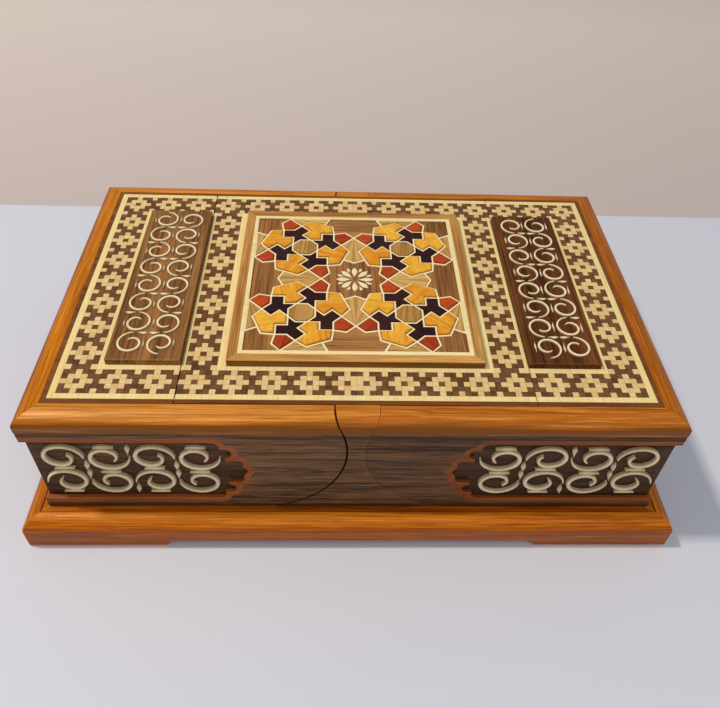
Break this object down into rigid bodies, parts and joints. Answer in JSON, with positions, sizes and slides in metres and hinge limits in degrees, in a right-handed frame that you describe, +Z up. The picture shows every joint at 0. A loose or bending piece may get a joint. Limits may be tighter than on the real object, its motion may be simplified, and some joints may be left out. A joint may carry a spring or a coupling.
{
  "type": "quran box",
  "caption": "Low walnut book box with an inlaid mosaic top; curved rule-joint wings lift at both ends beside a fixed centre with a raised star-pattern medallion.",
  "frame": {"origin": "middle of the footprint, on the surface that the feet stand on", "axes": "+X to the right along the long side, +Y to the back, +Z up"},
  "size_m": [0.4934, 0.3226, 0.1365],
  "materials": {
    "rail_wood": "satin varnish",
    "walnut": "satin varnish",
    "plain_wood": "sanded",
    "mosaic": "satin varnish over light and dark blocks",
    "light_wood": "satin varnish",
    "frame_wood": "satin varnish",
    "field_walnut": "satin varnish",
    "amber_wood": "satin varnish",
    "dark_wood": "satin varnish",
    "red_wood": "satin varnish",
    "tan_wood": "satin varnish",
    "relief_wood": "satin",
    "brass": "turned",
    "velvet": "pile"
  },
  "bodies": {
    "base": {"base_front_rail": "rail_wood", "base_back_rail": "rail_wood", "base_left_rail": "rail_wood", "base_right_rail": "rail_wood", "front_centre_rail": "rail_wood", "back_centre_rail": "rail_wood", "front_centre_post": "walnut", "back_centre_post": "walnut", "centre_walnut_edging": "walnut", "base_board": "plain_wood", "front_inner_wall": "plain_wood", "back_inner_wall": "plain_wood", "centre_top_board": "plain_wood", "centre_mosaic_border": "mosaic", "centre_light_stringing": "light_wood", "medallion_stringing": "light_wood", "strapwork": "light_wood", "medallion_frame": "frame_wood", "medallion_board": "field_walnut", "amber_tiles": "amber_wood", "dark_tiles": "dark_wood", "red_tiles": "red_wood", "octagon_tiles": "tan_wood", "fan_tiles": "tan_wood", "centre_rosette": "relief_wood", "left_pivot_pins": "brass", "right_pivot_pins": "brass", "floor_lining": "velvet"},
    "left_wing": {"left_front_rail": "rail_wood", "left_back_rail": "rail_wood", "left_end_rail": "rail_wood", "left_front_panel": "walnut", "left_back_panel": "walnut", "left_end_panel": "walnut", "left_top_board": "plain_wood", "left_mosaic_border": "mosaic", "left_light_stringing": "light_wood", "left_walnut_edging": "walnut", "left_relief_board": "walnut", "left_board_scroll": "relief_wood", "left_cartouche_frames": "frame_wood", "left_cartouche_scrolls": "relief_wood"},
    "right_wing": {"right_front_rail": "rail_wood", "right_back_rail": "rail_wood", "right_end_rail": "rail_wood", "right_front_panel": "walnut", "right_back_panel": "walnut", "right_end_panel": "walnut", "right_top_board": "plain_wood", "right_mosaic_border": "mosaic", "right_light_stringing": "light_wood", "right_walnut_edging": "walnut", "right_relief_board": "walnut", "right_board_scroll": "relief_wood", "right_cartouche_frames": "frame_wood", "right_cartouche_scrolls": "relief_wood"}
  },
  "joints": [
    {"name": "left_wing_lift", "type": "hinge", "parent": "base", "child": "left_wing", "pos_m": [-0.0735, 0, 0.0954], "axis": [0, 1, 0], "range_deg": [0, 90]},
    {"name": "right_wing_lift", "type": "hinge", "parent": "base", "child": "right_wing", "pos_m": [0.0735, 0, 0.0954], "axis": [0, -1, 0], "range_deg": [0, 90]}
  ]
}
